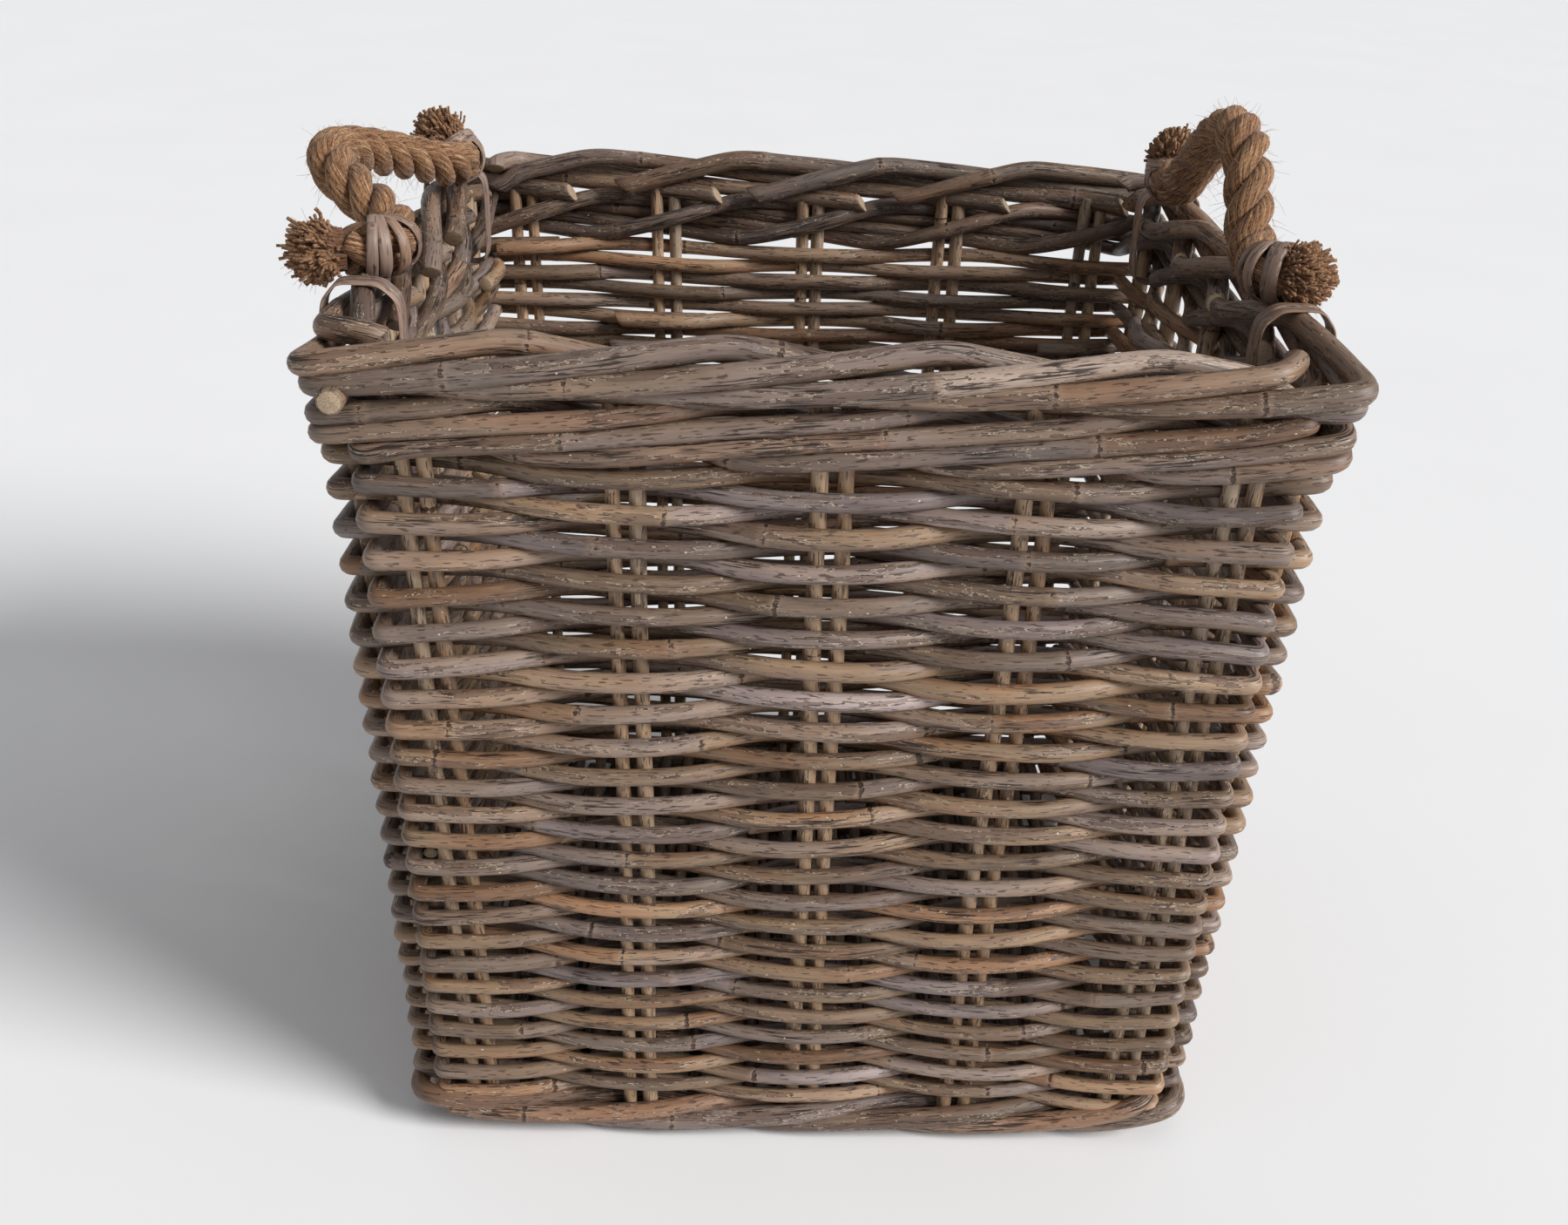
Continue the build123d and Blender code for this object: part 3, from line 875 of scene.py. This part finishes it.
TAIL_R = 5.8 * MM
TAIL_DROP = 27 * MM  # below the top of the border
TAIL_RUN = np.array([1.0, 66.0, 2.0]) * MM  # from the cut end back along the left wall


def add_corner_tail(bundle):
    """The cut end of a rod of the left wall, which stands out past the front left corner."""
    corner = np.array([-stake_half(RIM_X, HEIGHT) + 4 * MM, -RIM_Y - 5 * MM, HEIGHT - TAIL_DROP])
    share = np.linspace(1, 0, 12)[:, None]
    bundle.tube(corner + share * TAIL_RUN, TAIL_R, 0.5, 0.3, sides=16)


BASE_STICKS = 6
BASE_STICK_R = 4.4 * MM
BASE_STEP = 56.0 * MM  # from stick to stick
BASE_LEVEL = 16.5 * MM
BASE_PITCH = 7.8 * MM


def add_base():
    """Straight sticks with rods woven across them."""
    sticks, rods = Bundle(), Bundle()
    reach_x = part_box("base_sticks")[1].x
    reach_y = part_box("base_weavers")[1].y
    middle = (BASE_STICKS - 1) / 2
    for y in (np.arange(BASE_STICKS) - middle) * BASE_STEP:
        places = np.linspace(-reach_x, reach_x, 40)
        line = np.stack([places, y + 0 * places, BASE_LEVEL + 0 * places], axis=1)
        sticks.tube(line, BASE_STICK_R, *rng.uniform(0, 1, 2), spacing=8 * MM)
    total = int((2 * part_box("base_weavers")[1].x) / BASE_PITCH)
    for index in range(total):
        y = np.linspace(-reach_y, reach_y, 160)
        wave = np.cos(math.pi * (np.clip(y / BASE_STEP + middle, 0, BASE_STICKS - 1) + index))
        size = BASE_PITCH * rng.uniform(0.95, 1.08)
        x = (index - (total - 1) / 2) * BASE_PITCH + 0.4 * MM * np.sin(y * 40 + index)
        z = BASE_LEVEL + wave * (size / 2 + BASE_STICK_R)
        tone, hue = rng.uniform(0, 1, 2)
        rods.tube(np.stack([x, y, z], axis=1), size / 2, tone, hue, sides=10, spacing=5 * MM)
    sticks.build("base_stick_rods", painted_shade_base_look, "base_rattan", ["base_sticks"])
    rods.build("base_weaver_rods", painted_shade_base_look, "base_rattan", ["base_weavers"])


add_walls()
add_stakes()
add_wale("foot_wale", 11.2 * MM, strands=3, size=10.6 * MM, climb=5.4 * MM, lift=12.0 * MM, bend=32)
add_wale("rim_wale", 407.6 * MM, strands=4, size=9.8 * MM, climb=13.2 * MM, lift=0.0, bend=14)
add_border()
add_base()


# ---- ropes
STRANDS = 3
STRAND_R = 5.85 * MM
STRAND_ORBIT = 6.6 * MM
STRAND_SIDES = 48
LAY = 54.0 * MM  # length of one turn of a strand
YARNS = 10
YARN_LAY = 56.0 * MM
YARN_DEPTH = 0.16  # how deep the grooves between yarns are, as a share of the strand's size
FUZZ_HAIRS = 420
FUZZ_LENGTHS = (4, 11)  # least and most, in millimetres
FUZZ_R = 0.10 * MM


def add_strands(bundle, line, swirl):
    """Three strands twisted round a line; each has yarns twisted the other way."""
    line = stations(line, 1.6 * MM, 0.0)
    along = lengths(line)
    first, second = carried_vectors(line)
    angle = round_angles(STRAND_SIDES)
    for strand in range(STRANDS):
        turn = swirl + strand * 2 * math.pi / STRANDS + along / LAY * 2 * math.pi
        round_it = first * np.cos(turn)[:, None] + second * np.sin(turn)[:, None]
        centre = line + STRAND_ORBIT * round_it
        across, side = carried_vectors(centre)
        twist = along / YARN_LAY * 2 * math.pi + rng.uniform(0, 6)
        turned = angle[None] + twist[:, None]
        yarn = np.abs(np.sin(YARNS / 2 * turned))
        wander = 1 + 0.04 * np.sin(along / (9 * MM) + 2 * strand) + 0.02 * np.sin(along / (4 * MM))
        size = STRAND_R * wander[:, None] * (1 - YARN_DEPTH + YARN_DEPTH * yarn**0.6)
        rings = rings_round(centre, across, side, size, angle)
        place = along[:, None] + strand
        grain = vectors(rings, place, STRAND_R * np.cos(turned), STRAND_R * np.sin(turned))
        # the first part of look is painted shade, strongest deep in the grooves between the yarns
        look = vectors(rings, (1 - yarn) ** 1.8, 0.5 + 0.12 * (strand - 1), 0.0)
        bundle.add_rings(rings, grain, look, np.zeros(len(line)))


def add_rope_tube(bundle, line, thick, hue, dark, sides=4):
    """A thin tube of rope fibre; dark, 0 to 1 along it, is painted shade."""
    rings = rings_round(line, *carried_vectors(line), thick[:, None], round_angles(sides))
    bundle.add_rings(rings, rings.copy(), vectors(rings, 0.0, hue, 0.0), dark)


def any_way_out(first, second):
    """A random direction across a line, from its side vectors at one point."""
    angle = rng.uniform(0, 2 * math.pi)
    return first * math.cos(angle) + second * math.sin(angle)


def add_hair(bundle, start, direction, length, thick, droop=0.3):
    """One loose fibre, a thin tapered tube that bends as it goes."""
    run = np.linspace(0, 1, 5)[:, None]
    bend = rng.normal(0, 0.25, 3) - droop * Z
    line = start + length * (direction / np.linalg.norm(direction) * run + bend * run**2 * 0.5)
    add_rope_tube(bundle, line, thick * np.linspace(1, 0.45, 5), 0.8, np.zeros(5), 3)


def add_fuzz(bundle, line):
    """Short loose hairs that stand off a rope."""
    dense = stations(line, 1.0 * MM, 0.0)
    first, second = carried_vectors(dense)
    heading = tangents(dense)
    for _ in range(FUZZ_HAIRS):
        i = int(rng.integers(2, len(dense) - 2))
        outward = any_way_out(first[i], second[i])
        direction = outward * rng.uniform(0.3, 1.0) + heading[i] * rng.normal(0, 0.8)
        root = dense[i] + outward * ROPE_D / 2 * 0.93
        add_hair(bundle, root, direction, rng.uniform(*FUZZ_LENGTHS) * MM, FUZZ_R)


def add_handle(name):
    """The arch of one rope handle, with loose hairs on it."""
    bundle = Bundle()
    line = arch_lines[name]
    add_strands(bundle, line, swirl=0.8)
    body = f"{name}_handle"
    piece = bundle.build(f"{name}_rope_arch", rope_look, "rope", [f"{name}_rope_handle"], body)
    fuzz = Bundle()
    add_fuzz(fuzz, line)
    hairs = fuzz.build(f"{name}_rope_arch_fuzz", rope_look, "rope", (), body)


# The middle of each frayed end, in millimetres from its neck: out, along the wall, up
FRAYS = {
    "left_front": (32.0, 19.0, -1.0),
    "right_front": (15.0, 17.0, 0.5),
    "left_back": (13.0, 11.0, 12.0),
    "right_back": (3.0, 14.0, 14.0),
}
ELBOW = 9 * MM  # from the neck to where the rope end starts to turn
FRAY_R = 15.0 * MM
FRAY_ROOT = 14  # millimetres from the middle of the fray back to where its yarns part
FRAY_SPREAD = math.radians(115)
YARN_ENDS = 560
YARN_RS = (0.55, 1.05)  # least and most, in millimetres
FRAY_HAIRS = 45
FRAY_HAIR_R = 0.16 * MM


def end_line(side, end, name):
    """The centre line of a cut rope end: on from its neck, then round to where it frays."""
    out, along, up = FRAYS[name]
    ahead = Vector((0.0, end, 0.0))
    neck = Vector((side * NECK_X, end * NECK_REACH, NECK_Z))
    bend = neck + ELBOW * ahead
    middle = neck + MM * Vector((side * out, end * along, up))
    points = [neck - 5 * MM * ahead, neck + 4 * MM * ahead, bend]
    points += [bend.lerp(middle, share) for share in (0.4, 0.75, 1.0)]
    return smooth_line(f"{name}_end_route", points)


def add_fray(bundle, line):
    """Chopped yarns that burst from the end of a rope and fill a ragged ball."""
    dense = stations(line, 1.0 * MM, 0.0)
    first, second = carried_vectors(dense)
    aim = tangents(dense)[-1]
    root = len(dense) - FRAY_ROOT
    for _ in range(YARN_ENDS):
        outward = any_way_out(first[root], second[root])
        share = math.sqrt(rng.uniform(0.0, 1.0))
        turn = share * FRAY_SPREAD + rng.normal(0, 0.16)
        spot = aim * math.cos(turn) + outward * math.sin(turn) + rng.normal(0, 0.10, 3)
        start = dense[root] + outward * share * ROPE_D * 0.42
        tip = dense[-1] + spot * FRAY_R * rng.uniform(0.84, 1.02)
        add_yarn(bundle, start, start + aim * 7 * MM, tip)
    for _ in range(FRAY_HAIRS):
        direction = aim + any_way_out(first[root], second[root]) * rng.uniform(0.2, 1.6)
        length = FRAY_R * rng.uniform(1.0, 1.4)
        add_hair(bundle, dense[-6], direction, length, FRAY_HAIR_R, droop=0.4)


def add_yarn(bundle, start, lead, tip):
    """One chopped yarn, from start by way of lead to its cut tip, with painted shade toward the root,
    deep in the ball.
    """
    run = np.linspace(0, 1, 7)[:, None]
    line = (1 - run) ** 2 * start + 2 * run * (1 - run) * lead + run**2 * tip
    line = line + rng.normal(0, 0.5 * MM, line.shape) * run
    thick = rng.uniform(*YARN_RS) * MM * np.linspace(0.7, 1.0, 7)
    add_rope_tube(bundle, line, thick, rng.uniform(0.0, 0.7), 1.0 - 0.85 * run[:, 0] ** 2)


def add_rope_end(side, end, name):
    """A cut rope end: an elbow from the neck outward, then a ball of chopped yarns."""
    bundle = Bundle()
    line = end_line(side, end, name)
    add_strands(bundle, line[: -len(line) // 4], swirl=0.3)
    add_fray(bundle, line)
    bundle.build(f"{name}_rope_tail", rope_look, "rope", [f"{name}_rope_end"])


# ---- lashings
PEEL_WIDTH = 6.6 * MM
PEEL_THICK = 1.3 * MM
HALF_PROFILE = [(0.2, 1.0), (0.42, 0.75), (0.5, 0.15), (0.4, 0.0)]  # share of width, of thickness
OTHER_HALF = [(-wide, high) for wide, high in HALF_PROFILE]
PEEL_PROFILE = np.array(OTHER_HALF[2::-1] + HALF_PROFILE + OTHER_HALF[3:])
NODE_FAR = 0.1  # distance to the nearest node that peel is given, so that it shows none
NECK_TURNS = 4
FIRST_TURN = 9.5  # where the first turn lies on the rope end, in millimetres
TURN_STEP = 3.6  # from turn to turn, in millimetres
FIRST_SLOPE, SLOPE_STEP = -12, 7  # how turns lean as they fan out, in degrees
LOOP_OFFSETS = (17.0 * MM, 25.0 * MM)  # of the loops over the border, from LOOPS_FROM
LOOPS_FROM = NECK_REACH + 14.3 * MM
LOOP_OVER = 1.2 * MM  # how far the loops stand over the top of the border
LOOP_SOFT = 8  # points each way over which the corners of a loop are rounded


def add_peel(bundle, line, outward, width=PEEL_WIDTH):
    """A flat strip along a line; outward points away from what it is wound on."""
    heading = tangents(line)
    across = np.cross(heading, outward)
    across /= np.linalg.norm(across, axis=1)[:, None]
    normal = np.cross(across, heading)
    along = lengths(line)
    wide, high = PEEL_PROFILE[:, 0] * width, PEEL_PROFILE[:, 1] * PEEL_THICK
    ripple = 1 + 0.08 * np.sin(along / (7 * MM) + rng.uniform(0, 6))
    rings = line[:, None] + across[:, None] * (wide * ripple[:, None])[:, :, None]
    rings = rings + normal[:, None] * high[:, None]
    grain = vectors(rings, along[:, None] + rng.uniform(0, 20), wide, high)
    look = vectors(rings, *rng.uniform(0, 1, 2), NODE_FAR)
    bundle.add_rings(rings, grain, look, np.zeros(len(line)))


def add_neck_turns(bundle, line):
    """Strips of peel round a rope end, one beside the other, that fan out to one side."""
    dense = stations(line, 0.5 * MM, 0.0)
    along = lengths(dense)
    heading = tangents(dense)
    first, second = carried_vectors(dense)
    fan_from = rng.uniform(0, 2 * math.pi)
    for turn in range(NECK_TURNS):
        i = int(np.searchsorted(along, (FIRST_TURN + TURN_STEP * turn) * MM))
        angle = np.linspace(0, 2 * math.pi * 1.05, 64) + rng.uniform(0, 2 * math.pi)
        radius = ROPE_D / 2 + (1.2 + 0.35 * turn) * MM
        outward = first[i] * np.cos(angle)[:, None] + second[i] * np.sin(angle)[:, None]
        slope = math.tan(math.radians(FIRST_SLOPE + SLOPE_STEP * turn)) * np.cos(angle - fan_from)
        ring = dense[i] + radius * (outward + heading[i] * slope[:, None])
        add_peel(bundle, ring, outward, PEEL_WIDTH * rng.uniform(0.80, 1.05))


def add_loop(bundle, side, y, low, high, top):
    """A strip over the border at y, down inside the wall, through it and back up outside."""
    half_in = min(abs(low.x), abs(high.x))
    half_out = max(abs(low.x), abs(high.x)) - 3 * MM
    corners = [
        (half_in, low.z), (half_in, top - 8 * MM), (half_in + 9 * MM, top), (half_out - 8 * MM, top),
        (half_out, top - 10 * MM), (half_out, low.z), (half_in, low.z),
    ]
    share = np.linspace(0, 1, 20, endpoint=False)[:, None]
    runs = [np.array(a) * (1 - share) + np.array(b) * share for a, b in zip(corners, corners[1:])]
    dense = np.concatenate(runs)
    loop = np.concatenate([dense[-LOOP_SOFT:], dense, dense[: LOOP_SOFT + 1]])
    line = np.stack([side * loop[:, 0], y + 0 * loop[:, 0], loop[:, 1]], axis=1)
    line = softened(line, LOOP_SOFT)[LOOP_SOFT:-LOOP_SOFT]
    line[:, 1] += np.linspace(-1.5, 1.5, len(line)) * MM
    middle = np.array([side * (half_in + half_out) / 2, y, (low.z + top) / 2])
    add_peel(bundle, line, line - middle)


def add_lashing(side, end, name):
    """Turns of peel round the rope end, and loops that tie it down over the border."""
    bundle = Bundle()
    add_neck_turns(bundle, end_line(side, end, name))
    low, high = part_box(f"{name}_lashing")
    for offset in LOOP_OFFSETS:
        add_loop(bundle, side, end * (LOOPS_FROM + offset), low, high, HEIGHT + LOOP_OVER)
    bundle.build(f"{name}_peel_lashing", peel_look, "peel", [f"{name}_lashing"])


for handle in ("left", "right"):
    add_handle(handle)
for side, side_name in ((-1, "left"), (1, "right")):
    for end, end_name in ((-1, "front"), (1, "back")):
        add_rope_end(side, end, f"{side_name}_{end_name}")
        add_lashing(side, end, f"{side_name}_{end_name}")


# ---- floor and light
FLOOR_SIZE = 60.0
FLOOR_TONES = palette((0.96, 0.96, 0.96), (0.98, 0.98, 0.98))
SKY_COLOUR = (0.96, 0.97, 1.0, 1.0)
SKY_STRENGTH = 0.36
KEY_FROM = Vector((0.80, -0.40, 0.54))
KEY_STRENGTH = 3.6
KEY_ANGLE = math.radians(25.0)


def add_floor():
    """A plain pale floor."""
    bpy.ops.mesh.primitive_plane_add(size=FLOOR_SIZE, location=(0, 0, 0))
    floor = bpy.context.object
    floor.name = "floor"
    g = Graph("pale_floor")
    g.grain = g.node("TexCoord", out="Object")
    mottle = g.noise(3, 3, 3.0)
    floor.data.materials.append(g.finish(g.mix(mottle, *FLOOR_TONES), 0.7, mottle, 0.1 * MM))


def add_light():
    """A large soft key from the right, and a pale sky for the fill."""
    bpy.context.scene.view_settings.view_transform = "Standard"
    world = bpy.data.worlds.new("world")
    bpy.context.scene.world = world
    world.use_nodes = True
    sky = world.node_tree.nodes["Background"]
    sky.inputs["Color"].default_value = SKY_COLOUR
    sky.inputs["Strength"].default_value = SKY_STRENGTH
    light = bpy.data.lights.new("key", "SUN")
    light.energy = KEY_STRENGTH
    light.angle = KEY_ANGLE
    new_object("key", light).rotation_euler = (-KEY_FROM).to_track_quat("-Z", "Y").to_euler()


add_floor()
add_light()
